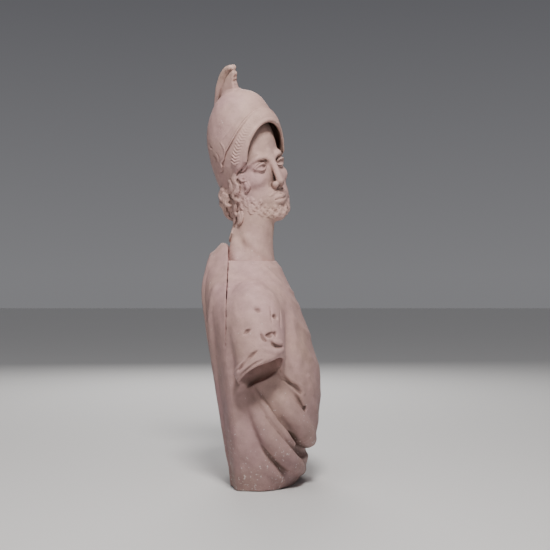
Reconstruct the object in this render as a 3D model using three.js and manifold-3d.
// A life-size marble bust of a helmeted, bearded figure, built the way a mason assembles it from blocks.
//
// Three carved blocks carry the figure: the torso with its cowl of hanging cloth and two cut arms, a
// slab of mantle bedded against its back, and the head with the neck, hair, beard and helmet. The slab
// stands on four steel dowels and the head on one, each joint filled with a thin bed of mortar.
//
// Millimetres, +Z up. The figure faces -Y, so its right side is -X. The origin is the centre of the foot.

import * as THREE from "three";
import { LoftGeometry } from "three/addons/geometries/LoftGeometry.js";
import { mergeVertices } from "three/addons/utils/BufferGeometryUtils.js";
import Module from "manifold-3d";

const wasm = await Module();
wasm.setup();

// ---- driving dimensions -------------------------------------------------------------------------

const CREST_TOP = 830; // overall height
const NECK_JOINT = 438; // height of the bed between torso and head
const BED = 2; // thickness of a mortar bed
const GAP = 0.3; // clearance kept between neighbouring pieces

// The seam between torso and mantle slab: upright above the knee, leaning forward below it.
const SEAM_Y = 64;
const SEAM_FOOT_Y = 30;
const SEAM_KNEE_Z = 250;

// The head stands on the neck, turned towards the figure's right shoulder and leaning down to it.
const HEAD_TURN = 43; // degrees
const HEAD_TILT = 15; // degrees
const TILT_PIVOT_Z = 640;
const HEAD_CENTRE = new THREE.Vector3(8, 28, 0);

const RING = 40; // points in a section of a large block
const ARC_MM = 2.2; // surface of the torso to each degree round it
const FAR = 600; // reach of a cutting tool
const CARVING_TOLERANCE = 0.7;

// ---- tools --------------------------------------------------------------------------------------

/** A closed three.js geometry as a manifold-3d solid. */
function solid(geometry) {
  const bare = geometry.index ? geometry.toNonIndexed() : geometry.clone();
  for (const name of Object.keys(bare.attributes)) {
    if (name !== "position") bare.deleteAttribute(name);
  }
  const merged = mergeVertices(bare, 1e-3);
  const mesh = new wasm.Mesh({
    numProp: 3,
    vertProperties: merged.attributes.position.array,
    triVerts: new Uint32Array(merged.index.array),
  });
  return new wasm.Manifold(mesh);
}

/** A manifold-3d solid as a named three.js mesh. */
function piece(name, shape, material) {
  const mesh = shape.getMesh();
  const geometry = new THREE.BufferGeometry();
  geometry.setAttribute("position", new THREE.BufferAttribute(new Float32Array(mesh.vertProperties), 3));
  geometry.setIndex(new THREE.BufferAttribute(mesh.triVerts, 1));
  geometry.computeVertexNormals();
  const made = new THREE.Mesh(geometry, material);
  made.name = name;
  return made;
}

const union = (first, ...rest) => rest.reduce((whole, part) => whole.add(part), first);

/** One carved body: sealed hollows filled up, and no more facets than its surface needs. */
const carved = (shape) =>
  shape
    .decompose()
    .reduce((most, body) => (body.volume() > most.volume() ? body : most))
    .simplify(CARVING_TOLERANCE);

/** A power that keeps its base's sign, for the outline of a superellipse. */
const signedPower = (value, power) => Math.sign(value) * Math.abs(value) ** power;

/** Angles evenly round a section, or bunched towards its front where the carving is finer. */
function roundAngles(count, bunching = 0) {
  return Array.from({ length: count }, (_, i) => {
    const angle = (i / count) * 2 * Math.PI;
    return angle + bunching * Math.cos(angle);
  });
}

/** One level of a block: its reach to the figure's right and left, front and back, and how square it is. */
function section([z, right, left, front, back, frontSquare, backSquare = frontSquare], middle, angles) {
  return angles.map((angle) => {
    const square = Math.sin(angle) > 0 ? backSquare : frontSquare;
    const c = signedPower(Math.cos(angle), 2 / square);
    const s = signedPower(Math.sin(angle), 2 / square);
    return new THREE.Vector3(
      c * (c > 0 ? left : right),
      middle + s * (s > 0 ? back - middle : middle - front),
      z,
    );
  });
}

/** A smooth closed skin over the levels, each point moved by the carving if there is one. */
function skin(levels, steps, middle, { angles = roundAngles(RING), carve = null } = {}) {
  const rings = levels.map((level) => section(level, middle, angles));
  const through = (points) => new THREE.CatmullRomCurve3(points, false, "centripetal");
  const columns = rings[0].map((_, j) => through(rings.map((ring) => ring[j])));
  const sections = Array.from({ length: steps + 1 }, (_, i) => {
    const ring = columns.map((curve) => curve.getPoint(i / steps));
    return carve ? ring.map((point) => carve(point, middle)) : ring;
  });
  return solid(new LoftGeometry(sections, { capStart: true, capEnd: true }));
}

/** How far a point lies from a chain of points, all in the plane of an unrolled surface. */
function distanceTo(chain, point) {
  let nearest = Infinity;
  const onLeg = new THREE.Vector2();
  for (let i = 1; i < chain.length; i++) {
    const leg = chain[i].clone().sub(chain[i - 1]);
    const share = THREE.MathUtils.clamp(point.clone().sub(chain[i - 1]).dot(leg) / leg.lengthSq(), 0, 1);
    onLeg.copy(chain[i - 1]).addScaledVector(leg, share);
    nearest = Math.min(nearest, onLeg.distanceTo(point));
  }
  return nearest;
}

/** A ridge of cloth over the unrolled surface, or a groove where its height is negative. */
function ridge(points, width, height) {
  const curve = new THREE.SplineCurve(points.map(([degrees, z]) => new THREE.Vector2(degrees * ARC_MM, z)));
  const chain = curve.getPoints(points.length * 4);
  return (degrees, z) => {
    const away = distanceTo(chain, new THREE.Vector2(degrees * ARC_MM, z));
    return height * Math.exp(-((away / width) ** 2));
  };
}

/** A sphere stretched to the given half sizes. */
function ellipsoid(x, y, z, half, detail = 20) {
  const geometry = new THREE.SphereGeometry(1, detail, Math.round(detail * 0.7));
  geometry.rotateX(Math.PI / 2);
  geometry.scale(...half);
  geometry.translate(x, y, z);
  return solid(geometry);
}

/** A rod with an oval section along a smooth path, for a rolled fold of cloth. */
function fold(points, across, deep, steps = 18) {
  const path = new THREE.CatmullRomCurve3(points);
  const oval = new THREE.Shape().absellipse(0, 0, across, deep, 0, 2 * Math.PI);
  const options = { steps, extrudePath: path, curveSegments: 5, bevelEnabled: false };
  return solid(new THREE.ExtrudeGeometry(oval, options));
}

/** Everything beyond the plane through a point, on the side its normal points to. */
function beyond(point, normal) {
  const box = new THREE.BoxGeometry(FAR, FAR, FAR);
  box.translate(0, 0, FAR / 2);
  const up = new THREE.Vector3(0, 0, 1);
  const turn = new THREE.Quaternion().setFromUnitVectors(up, normal.clone().normalize());
  box.applyQuaternion(turn);
  box.translate(point.x, point.y, point.z);
  return solid(box);
}

/** A round bar between two points. */
function bar(from, to, radius) {
  const length = from.distanceTo(to);
  const geometry = new THREE.CylinderGeometry(radius, radius, length, 24);
  const along = to.clone().sub(from).normalize();
  geometry.applyQuaternion(new THREE.Quaternion().setFromUnitVectors(new THREE.Vector3(0, 1, 0), along));
  const centre = from.clone().add(to).multiplyScalar(0.5);
  geometry.translate(centre.x, centre.y, centre.z);
  return solid(geometry);
}

// ---- torso --------------------------------------------------------------------------------------

// Levels are [z, half width right, half width left, front, back, squareness of the front and of the back].
const TORSO_LEVELS = [
  [0, 143, 143, -93, 90, 1.75, 2.4],
  [30, 150, 150, -104, 94, 1.8, 2.6],
  [64, 154, 154, -110, 96, 1.9, 2.9],
  [98, 155, 155, -112, 98, 1.95, 3.2],
  [130, 155, 155, -117, 100, 2, 3.4],
  [170, 156, 156, -120, 100, 2, 3.4],
  [209, 157, 157, -119, 100, 2, 3.4],
  [237, 158, 158, -113, 102, 2, 3.4],
  [274, 160, 160, -102, 104, 2.05, 3.3],
  [306, 162, 162, -93, 106, 2.1, 3],
  [335, 162, 162, -81, 108, 2.1, 2.7],
  [370, 148, 148, -66, 108, 2.05, 3.4],
  [392, 122, 122, -54, 106, 2, 3.4],
  [410, 90, 90, -44, 102, 2, 3.2],
  [426, 66, 66, -36, 94, 2, 2.8],
  [NECK_JOINT - BED / 2 - GAP, 56, 56, -28, 80, 2, 2.4],
];

// Heights on the torso are given round it in degrees: 0 is its right side, 90 its front, 180 its left.
// The cowl of cloth across the chest ends in a hem, and the body steps back below it.
const HEM = [[-20, 300], [0, 262], [20, 226], [50, 178], [60, 122], [75, 72], [90, 54]];
const HEM_STEP = 14;
const HEM_SOFTNESS = 9;

const mirrored = (points) => points.map(([degrees, z]) => [180 - degrees, z]);
const aroundFront = (points) => [...points, ...mirrored(points).reverse()];

const RIGHT_FOLDS = [
  ridge([[-4, 200], [-2, 171], [2, 120], [14, 91], [42, 55], [66, 34]], 12, 15),
  ridge([[0, 215], [10, 141], [32, 88], [50, 65], [70, 46]], 9, 11),
  ridge([[20, 222], [28, 191], [44, 157], [52, 120]], 9, 10),
  ridge([[0, 71], [12, 40], [28, 14]], 12, 10),
  ridge([[4, 96], [16, 62], [36, 34]], 8, -9),
];
const LEFT_FOLDS = [
  ridge(mirrored([[-6, 230], [0, 160], [16, 100], [44, 58], [66, 34]]), 13, 15),
  ridge(mirrored([[-4, 150], [4, 100], [22, 60], [44, 30]]), 11, 12),
  ridge(mirrored([[10, 236], [24, 180], [46, 130], [58, 96]]), 10, 11),
  ridge(mirrored([[0, 60], [14, 36], [30, 12]]), 11, 8),
];
const CHEST_FOLDS = [
  ridge(aroundFront([[30, 402], [48, 378], [70, 362], [86, 358]]), 8, 7),
  ridge(aroundFront([[18, 388], [42, 340], [66, 310], [86, 302]]), 9, 8),
  ridge(aroundFront([[16, 352], [38, 292], [64, 252], [86, 242]]), 10, 9),
  ridge(aroundFront([[22, 306], [44, 240], [66, 196], [86, 184]]), 10, 9),
  ridge(aroundFront([[34, 246], [54, 184], [70, 138], [86, 126]]), 9, 8),
];
const SIDE_FOLDS = [...RIGHT_FOLDS, ...LEFT_FOLDS];
const FOLD_CAP = 12;

/** A value that levels off smoothly as it nears a cap. */
const softCap = (value, cap) => (value > 0 ? cap * Math.tanh(value / cap) : value);

const hemPoints = HEM.map(([degrees, z]) => new THREE.Vector2(degrees, z));
const hemCurve = new THREE.SplineCurve(hemPoints).getPoints(40);

/** Height of the cowl's hem at an angle round the torso, the same on either side. */
function hemHeight(degrees) {
  const folded = degrees > 90 ? 180 - degrees : degrees;
  const next = hemCurve.findIndex((point) => point.x >= folded);
  if (next <= 0) return hemCurve[0].y;
  const [a, b] = [hemCurve[next - 1], hemCurve[next]];
  return THREE.MathUtils.lerp(a.y, b.y, (folded - a.x) / (b.x - a.x));
}

/** The torso's folds: each point is moved in or out along its own level. */
function carveTorso(point, middle) {
  if (point.y > middle + 60) return point;
  const out = new THREE.Vector2(point.x, point.y - middle);
  const degrees = THREE.MathUtils.radToDeg(Math.atan2(-out.y, -out.x * 0.7));
  const round = degrees < -90 ? degrees + 360 : degrees;
  const below = THREE.MathUtils.smoothstep(hemHeight(round) - point.z, -HEM_SOFTNESS, HEM_SOFTNESS);
  // quieter down the middle
  const calm = 1 - 0.75 * THREE.MathUtils.smoothstep(90 - Math.abs(90 - round), 58, 84);
  const folds = SIDE_FOLDS.reduce((sum, shape) => sum + shape(round, point.z), 0);
  const loops = CHEST_FOLDS.reduce((sum, shape) => sum + shape(round, point.z), 0);
  const fade = 1 - THREE.MathUtils.smoothstep(point.z, 405, 434);
  const relief = (softCap(folds, FOLD_CAP) + loops * calm) * fade - HEM_STEP * below;
  out.setLength(out.length() + relief);
  return new THREE.Vector3(out.x, out.y + middle, point.z);
}

// Each arm is cut through the upper arm, inside its short sleeve.
const ARMS = {
  right: {
    root: [-122, 18, 360],
    shoulder: [-146, 10, 336],
    cut: [-175, -3, 232],
    normal: [-0.36, -0.45, -0.85],
  },
  left: { root: [122, 18, 360], shoulder: [146, 10, 336], cut: [176, 4, 246], normal: [0.4, -0.22, -0.88] },
};
const SHOULDER_R = 54;
const SLEEVE_R = 47;
const ROOT_R = 42; // where the shoulder grows out of the torso
const RECESS_R = 38;
const RECESS_DEPTH = 24;

/** A shoulder with its short sleeve, cut off square to the arm's own slant. */
function armStump({ root, shoulder, cut, normal }) {
  const from = new THREE.Vector3(...shoulder);
  const to = new THREE.Vector3(...cut);
  const out = new THREE.Vector3(...normal).normalize();
  const length = from.distanceTo(to);
  const dome = new THREE.EllipseCurve(0, 0, SHOULDER_R, SHOULDER_R, Math.PI / 2, 0, true);
  const profile = [
    ...dome.getPoints(8),
    new THREE.Vector2(SLEEVE_R, -length),
    new THREE.Vector2(SLEEVE_R, -length - SLEEVE_R),
    new THREE.Vector2(0, -length - SLEEVE_R),
  ];
  const limb = new THREE.LatheGeometry(profile.reverse(), 28);
  const down = to.clone().sub(from).normalize();
  limb.applyQuaternion(new THREE.Quaternion().setFromUnitVectors(new THREE.Vector3(0, -1, 0), down));
  limb.translate(from.x, from.y, from.z);
  const slope = wasm.Manifold.hull([
    ellipsoid(...root, [ROOT_R, ROOT_R, ROOT_R], 20),
    ellipsoid(...shoulder, [SHOULDER_R - 1, SHOULDER_R - 1, SHOULDER_R - 1], 20),
  ]);
  const bottom = to.clone().addScaledVector(out, -RECESS_DEPTH);
  const recess = bar(bottom, to.clone().addScaledVector(out, 30), RECESS_R);
  return { stump: union(slope, solid(limb)).subtract(beyond(to, out)), recess };
}

/** Everything behind the seam, starting the given distance behind it. */
function behindSeam(offset) {
  const outline = new THREE.Shape([
    new THREE.Vector2(SEAM_FOOT_Y + offset, -10),
    new THREE.Vector2(FAR, -10),
    new THREE.Vector2(FAR, FAR),
    new THREE.Vector2(SEAM_Y + offset, FAR),
    new THREE.Vector2(SEAM_Y + offset, SEAM_KNEE_Z),
  ]);
  const geometry = new THREE.ExtrudeGeometry(outline, { depth: FAR, bevelEnabled: false });
  geometry.rotateY(Math.PI / 2); // outline's first axis to -Z, depth to +X
  geometry.rotateX(Math.PI / 2); // and on to +Y, with its height still to be turned up
  geometry.translate(-FAR / 2, 0, 0);
  return solid(geometry);
}

const torsoCore = skin(TORSO_LEVELS, 46, 0, { angles: roundAngles(68, -0.35), carve: carveTorso });
const stumps = Object.values(ARMS).map(armStump);
const foot = beyond(new THREE.Vector3(0, 0, 0), new THREE.Vector3(0, 0, -1));

// ---- mantle slab --------------------------------------------------------------------------------

const SLAB_LEVELS = [
  [0, 133, 133, -20, 60, 2.6],
  [42, 143, 143, -20, 66, 2.6],
  [119, 150, 150, -20, 78, 2.6],
  [193, 154, 154, -20, 91, 2.5],
  [290, 160, 160, -20, 104, 2.5],
  [340, 160, 160, -20, 114, 2.4],
  [376, 134, 134, -20, 118, 2.3],
  [407, 98, 98, -10, 117, 2.2],
  [431, 72, 72, 0, 113, 2.1],
  [452, 56, 56, 10, 101, 2],
  [466, 44, 44, 24, 90, 2],
  [476, 28, 28, 34, 80, 2],
];
const slabBody = skin(SLAB_LEVELS, 18, 40);

// ---- head ---------------------------------------------------------------------------------------

const NECK_LEVELS = [
  [NECK_JOINT + BED / 2 + GAP, 55, 55, -27, 63, 2.1],
  [455, 51, 51, -25, 62, 2],
  [480, 47, 47, -24, 57, 2],
  [510, 46, 46, -26, 52, 2],
  [545, 46, 46, -22, 53, 2],
  [600, 48, 48, -10, 56, 2],
];

// Heights of the features of the face, in thirds from chin to hairline.
const CHIN_Z = 522;
const MOUTH_Z = 563;
const NOSE_Z = 584;
const EYE_Z = 630;
const BROW_Z = 646;
const EYE_X = 31;

const BRIM_HALF_WIDTH = 56; // the helmet's arched opening
const BRIM_SPRING_Z = 650;
const BRIM_TOP_Z = 718;
const CREST_HALF_THICK = 8;
const CREST_RIM = 5; // raised edge along the crest's back

/** The head's own shapes are made facing -Y about the Z axis, then tilted, turned and set on the neck. */
function setOnNeck(shape) {
  const place = new THREE.Matrix4().makeRotationZ(-THREE.MathUtils.degToRad(HEAD_TURN));
  place.setPosition(HEAD_CENTRE.x, HEAD_CENTRE.y, TILT_PIVOT_Z);
  place.multiply(new THREE.Matrix4().makeRotationY(-THREE.MathUtils.degToRad(HEAD_TILT)));
  place.multiply(new THREE.Matrix4().makeTranslation(0, 0, -TILT_PIVOT_Z));
  return shape.transform(place.elements);
}

const both = (make) => [make(-1), make(1)];

/** A soft round bump at a place on the face, or a hollow where its height is negative. */
const bump = (x, z, wide, high, height) => (px, pz) =>
  height * Math.exp(-(((px - x) / wide) ** 2) - ((pz - z) / high) ** 2);
const pair = (x, ...rest) => [bump(-x, ...rest), bump(x, ...rest)];

const FEATURES = [
  ...pair(EYE_X, EYE_Z + 2, 15, 9, -11), // eye sockets
  ...pair(EYE_X, EYE_Z - 1, 10, 5, 6), // closed lids over the eyes
  ...pair(EYE_X - 2, BROW_Z + 2, 17, 6, 4), // brows
  ...pair(40, 606, 13, 11, 3), // cheekbones
  ...pair(10, NOSE_Z + 5, 5, 6, 8), // wings of the nose
  ...pair(22, NOSE_Z - 6, 10, 14, -3), // beside the mouth
  bump(0, MOUTH_Z + 5, 16, 4, 5), // upper lip
  bump(0, MOUTH_Z - 6, 13, 5, 5), // lower lip
  bump(0, MOUTH_Z - 16, 16, 5, -4), // above the chin
  bump(0, CHIN_Z + 10, 16, 10, 5), // chin
];
const NOSE_PROFILE = [
  [NOSE_Z - 8, 0],
  [NOSE_Z, 12],
  [NOSE_Z + 5, 21],
  [606, 16],
  [EYE_Z, 8],
  [BROW_Z + 6, 3],
  [670, 0],
];

/** How far the bridge of the nose stands out at a height. */
function noseReach(z) {
  const above = NOSE_PROFILE.findIndex((point) => point[0] >= z);
  if (above <= 0) return 0;
  const [low, high] = [NOSE_PROFILE[above - 1], NOSE_PROFILE[above]];
  return THREE.MathUtils.lerp(low[1], high[1], (z - low[0]) / (high[0] - low[0]));
}

function carveFace(point) {
  const turnedAway = THREE.MathUtils.smoothstep(-point.y, 20, 50);
  if (turnedAway === 0) return point;
  const noseWidth = THREE.MathUtils.lerp(10, 6, THREE.MathUtils.smoothstep(point.z, NOSE_Z, 620));
  const nose = noseReach(point.z) * Math.exp(-((point.x / noseWidth) ** 2));
  const relief = FEATURES.reduce((sum, shape) => sum + shape(point.x, point.z), nose);
  return new THREE.Vector3(point.x, point.y - relief * turnedAway, point.z);
}

const FACE_LEVELS = [
  [CHIN_Z - 4, 14, 14, -62, -20, 2.2],
  [CHIN_Z + 6, 29, 29, -69, -10, 2.2],
  [545, 43, 43, -70, 0, 2.15],
  [MOUTH_Z, 51, 51, -71, 10, 2.1],
  [NOSE_Z, 55, 55, -70, 20, 2.1],
  [610, 58, 58, -69, 30, 2.1],
  [EYE_Z, 60, 60, -69, 30, 2.1],
  [BROW_Z, 61, 61, -72, 30, 2.1],
  [672, 61, 61, -72, 30, 2.1],
  [705, 57, 57, -66, 30, 2.1],
  [735, 44, 44, -52, 30, 2],
];

const face = () => skin(FACE_LEVELS, 38, -20, { angles: roundAngles(40, -0.8), carve: carveFace });

/** A rounded curl. */
function curl(x, y, z, radius) {
  const geometry = new THREE.IcosahedronGeometry(radius, 1);
  geometry.translate(x, y, z);
  return solid(geometry);
}

/** Curls at each temple and cheek, and longer locks down behind the ears to the nape. */
function hair() {
  const temples = [-1, 1].flatMap((s) => [
    curl(s * 57, -28, 628, 12),
    curl(s * 59, -13, 614, 13),
    curl(s * 56, -28, 602, 12),
    curl(s * 58, -6, 592, 15),
    curl(s * 54, 8, 570, 16),
    curl(s * 46, 22, 548, 15),
  ]);
  const masses = both((s) => ellipsoid(s * 50, -8, 596, [13, 22, 40], 10));
  const locks = [-1, 1].flatMap((s) => [
    ellipsoid(s * 44, 30, 566, [17, 18, 34], 10),
    ellipsoid(s * 30, 40, 550, [17, 17, 40], 10),
    ellipsoid(s * 12, 46, 542, [17, 16, 42], 10),
  ]);
  return union(...masses, ...temples, ...locks);
}

const JAW = [
  [-54, -14, 588],
  [-49, -32, 560],
  [-34, -53, 537],
  [0, -64, 526],
  [34, -53, 537],
  [49, -32, 560],
  [54, -14, 588],
];

/** A short beard of curls that runs under the jaw from ear to ear. */
function beard() {
  const rows = [
    { lift: 0, drop: 0, count: 12, radius: 12 },
    { lift: 0, drop: -12, count: 9, radius: 11 },
  ];
  const mass = fold(JAW.map(([x, y, z]) => new THREE.Vector3(x * 0.96, y + 1, z + 3)), 9, 12, 14);
  return union(
    mass,
    ...rows.flatMap(({ lift, drop, count, radius }) => {
      const lowered = JAW.map(([x, y, z]) => new THREE.Vector3(x, y - lift, z - drop));
      const line = new THREE.CatmullRomCurve3(lowered);
      return line.getPoints(count - 1).map((p, i) => curl(p.x, p.y, p.z, radius * (i % 2 ? 0.9 : 1.05)));
    }),
  );
}

const BOWL_LEVELS = [
  [545, 36, 36, 6, 52, 2],
  [560, 44, 44, -4, 58, 2],
  [580, 53, 53, -30, 65, 2],
  [600, 59, 59, -58, 69, 2],
  [625, 66, 66, -73, 73, 2],
  [652, 71, 71, -79, 76, 2],
  [678, 73, 73, -81, 76, 2],
  [710, 70, 70, -79, 72, 2],
  [740, 60, 60, -68, 61, 2],
  [765, 43, 43, -50, 43, 2],
  [778, 26, 26, -30, 24, 2],
  [784, 6, 6, -8, 4, 2],
];

/** The front of the helmet's bowl at a place across it and a height. */
function bowlFront(x, z) {
  const above = Math.max(1, BOWL_LEVELS.findIndex((level) => level[0] >= z));
  const [low, high] = [BOWL_LEVELS[above - 1], BOWL_LEVELS[above]];
  const share = THREE.MathUtils.clamp((z - low[0]) / (high[0] - low[0]), 0, 1);
  const wide = THREE.MathUtils.lerp(low[1], high[1], share);
  return THREE.MathUtils.lerp(low[3], high[3], share) * Math.sqrt(Math.max(0, 1 - (x / wide) ** 2));
}

/** A raised line on the bowl that follows the arched opening at a distance from its edge. */
function archLine(away, across, deep) {
  const points = Array.from({ length: 17 }, (_, i) => {
    const angle = (i / 16) * Math.PI;
    const x = -(BRIM_HALF_WIDTH + away * 0.62) * Math.cos(angle);
    const z = BRIM_SPRING_Z + (BRIM_TOP_Z - BRIM_SPRING_Z + away) * Math.sin(angle);
    return new THREE.Vector3(x, bowlFront(x, z), z);
  });
  return fold(points, across, deep, 18);
}

/** The bowl of the helmet, open in front under an arched brow, with a guard down the nape. */
function helmet() {
  const bowl = skin(BOWL_LEVELS, 18, 0, { angles: roundAngles(32) });
  const arch = new THREE.Shape();
  arch.moveTo(-110, 500);
  arch.lineTo(110, 500);
  arch.lineTo(BRIM_HALF_WIDTH, BRIM_SPRING_Z);
  arch.absellipse(0, BRIM_SPRING_Z, BRIM_HALF_WIDTH, BRIM_TOP_Z - BRIM_SPRING_Z, 0, Math.PI, false);
  const opening = new THREE.ExtrudeGeometry(arch, { depth: 160, bevelEnabled: false, curveSegments: 16 });
  opening.rotateX(Math.PI / 2); // height to +Z, depth to -Y
  opening.translate(0, -30, 0);
  const underside = beyond(new THREE.Vector3(0, -34, 632), new THREE.Vector3(0, -0.62, -0.78));
  const cover = ellipsoid(0, -3, 660, [65, 71, 106], 20); // fills the bowl, set back from the brim's edge
  const lines = [archLine(4, 4, 5), archLine(28, 3, 3)];
  return union(bowl.subtract(solid(opening)).subtract(underside), cover.subtract(underside), ...lines);
}

/** An outline in the helmet's midline plane, to the back and up, given a thickness. */
function fin(outline, halfThick) {
  const options = { depth: 2 * halfThick, bevelEnabled: false, curveSegments: 8 };
  const geometry = new THREE.ExtrudeGeometry(outline, options);
  geometry.rotateX(Math.PI / 2);
  geometry.rotateZ(Math.PI / 2);
  geometry.translate(-halfThick, 0, 0);
  return solid(geometry);
}

/** The stub of the crest: a fin with a thick back edge, broken off over the crown. */
function crest() {
  const tilt = THREE.MathUtils.degToRad(HEAD_TILT);
  const corner = CREST_TOP - TILT_PIVOT_Z - CREST_HALF_THICK * Math.sin(tilt);
  const top = TILT_PIVOT_Z + corner / Math.cos(tilt); // before the head is tilted
  const backEdge = new THREE.CatmullRomCurve3([
    new THREE.Vector3(12, top - 4, 0),
    new THREE.Vector3(28, 817, 0),
    new THREE.Vector3(42, 798, 0),
    new THREE.Vector3(53, 773, 0),
    new THREE.Vector3(61, 746, 0),
    new THREE.Vector3(64, 716, 0),
  ]);
  const flat = backEdge.getPoints(12).map((p) => new THREE.Vector2(p.x, p.y));
  const brokenEdge = [[4, 760], [-8, 780], [-8, 800], [-13, 818], [-13, top - 2], [-6, top]];
  const broken = brokenEdge.map(([y, z]) => new THREE.Vector2(y, z));
  const web = new THREE.Shape([...broken, ...flat, new THREE.Vector2(40, 700)]);
  const inward = (p) => new THREE.Vector3(0, p.x - CREST_RIM, p.y - CREST_RIM - 3);
  const along = backEdge.getPoints(12).map(inward);
  return union(fin(web, CREST_HALF_THICK), fold(along, CREST_RIM, CREST_HALF_THICK + 2, 14));
}

// ---- dowels and beds ----------------------------------------------------------------------------

const NECK_DOWEL = { radius: 10, from: new THREE.Vector3(0, 16, 368), to: new THREE.Vector3(0, 16, 520) };
const SLAB_DOWELS = {
  mantle_dowel_upper_right: [-80, 300],
  mantle_dowel_upper_left: [80, 300],
  mantle_dowel_lower_right: [-80, 130],
  mantle_dowel_lower_left: [80, 130],
};
const SLAB_DOWEL_R = 6;
const DOWEL_IN_TORSO = 45;
const DOWEL_IN_SLAB = 22;

const seamAt = (z) => THREE.MathUtils.lerp(SEAM_FOOT_Y, SEAM_Y, Math.min(z / SEAM_KNEE_Z, 1));

/** A dowel, and the wider and slightly deeper hole that it stands in. */
function dowelAndHole(from, to, radius) {
  const along = to.clone().sub(from).normalize();
  const holeFrom = from.clone().addScaledVector(along, -1);
  const holeTo = to.clone().addScaledVector(along, 1);
  return { dowel: bar(from, to, radius), hole: bar(holeFrom, holeTo, radius + GAP) };
}

const neckDowel = dowelAndHole(NECK_DOWEL.from, NECK_DOWEL.to, NECK_DOWEL.radius);
const slabDowels = Object.entries(SLAB_DOWELS).map(([name, [x, z]]) => {
  const y = seamAt(z);
  const from = new THREE.Vector3(x, y - DOWEL_IN_TORSO, z);
  const to = new THREE.Vector3(x, y + DOWEL_IN_SLAB, z);
  return { name, ...dowelAndHole(from, to, SLAB_DOWEL_R) };
});

// ---- materials ----------------------------------------------------------------------------------

const marble = new THREE.MeshStandardMaterial({ color: 0xc4aea8, roughness: 0.62, metalness: 0 });
const mortar = new THREE.MeshStandardMaterial({ color: 0x8d7f76, roughness: 0.95, metalness: 0 });
const steel = new THREE.MeshStandardMaterial({ color: 0x8c8c8e, roughness: 0.4, metalness: 1 });

// ---- assembly -----------------------------------------------------------------------------------

const drill = (block, holes) => holes.reduce((left, hole) => left.subtract(hole), block);
const slabHoles = slabDowels.map(({ hole }) => hole);

const torsoBlock = drill(
  carved(union(torsoCore, ...stumps.map(({ stump }) => stump))).subtract(behindSeam(-BED / 2 - GAP)),
  [foot, ...stumps.map(({ recess }) => recess), ...slabHoles, neckDowel.hole],
);

const slabBlock = drill(slabBody.intersect(behindSeam(BED / 2 + GAP)), slabHoles);

const headParts = union(helmet(), face(), hair(), beard(), crest());
const headBlock = drill(carved(union(skin(NECK_LEVELS, 6, 14), setOnNeck(headParts))), [neckDowel.hole]);

const neckBed = drill(
  skin(
    [
      [NECK_JOINT - BED / 2, 50, 50, -24, 58, 2],
      [NECK_JOINT + BED / 2, 50, 50, -24, 58, 2],
    ],
    1,
    14,
  ),
  [neckDowel.hole],
);

const bedStock = skin(
  [
    [6, 116, 116, -20, 90, 2.6],
    [119, 138, 138, -20, 95, 2.6],
    [240, 148, 148, -20, 100, 2.5],
    [340, 148, 148, -20, 100, 2.4],
    [392, 100, 100, -20, 100, 2.2],
    [420, 60, 60, 0, 90, 2],
  ],
  14,
  40,
);
const mantleBed = drill(
  bedStock.intersect(behindSeam(-BED / 2)).subtract(behindSeam(BED / 2)),
  slabHoles,
);

const bust = new THREE.Group();
bust.add(piece("torso_block", torsoBlock, marble));
bust.add(piece("mantle_slab", slabBlock, marble));
bust.add(piece("helmeted_head", headBlock, marble));
bust.add(piece("neck_mortar_bed", neckBed, mortar));
bust.add(piece("mantle_mortar_bed", mantleBed, mortar));
bust.add(piece("neck_dowel", neckDowel.dowel, steel));
for (const { name, dowel } of slabDowels) {
  bust.add(piece(name, dowel, steel));
}

export default bust;
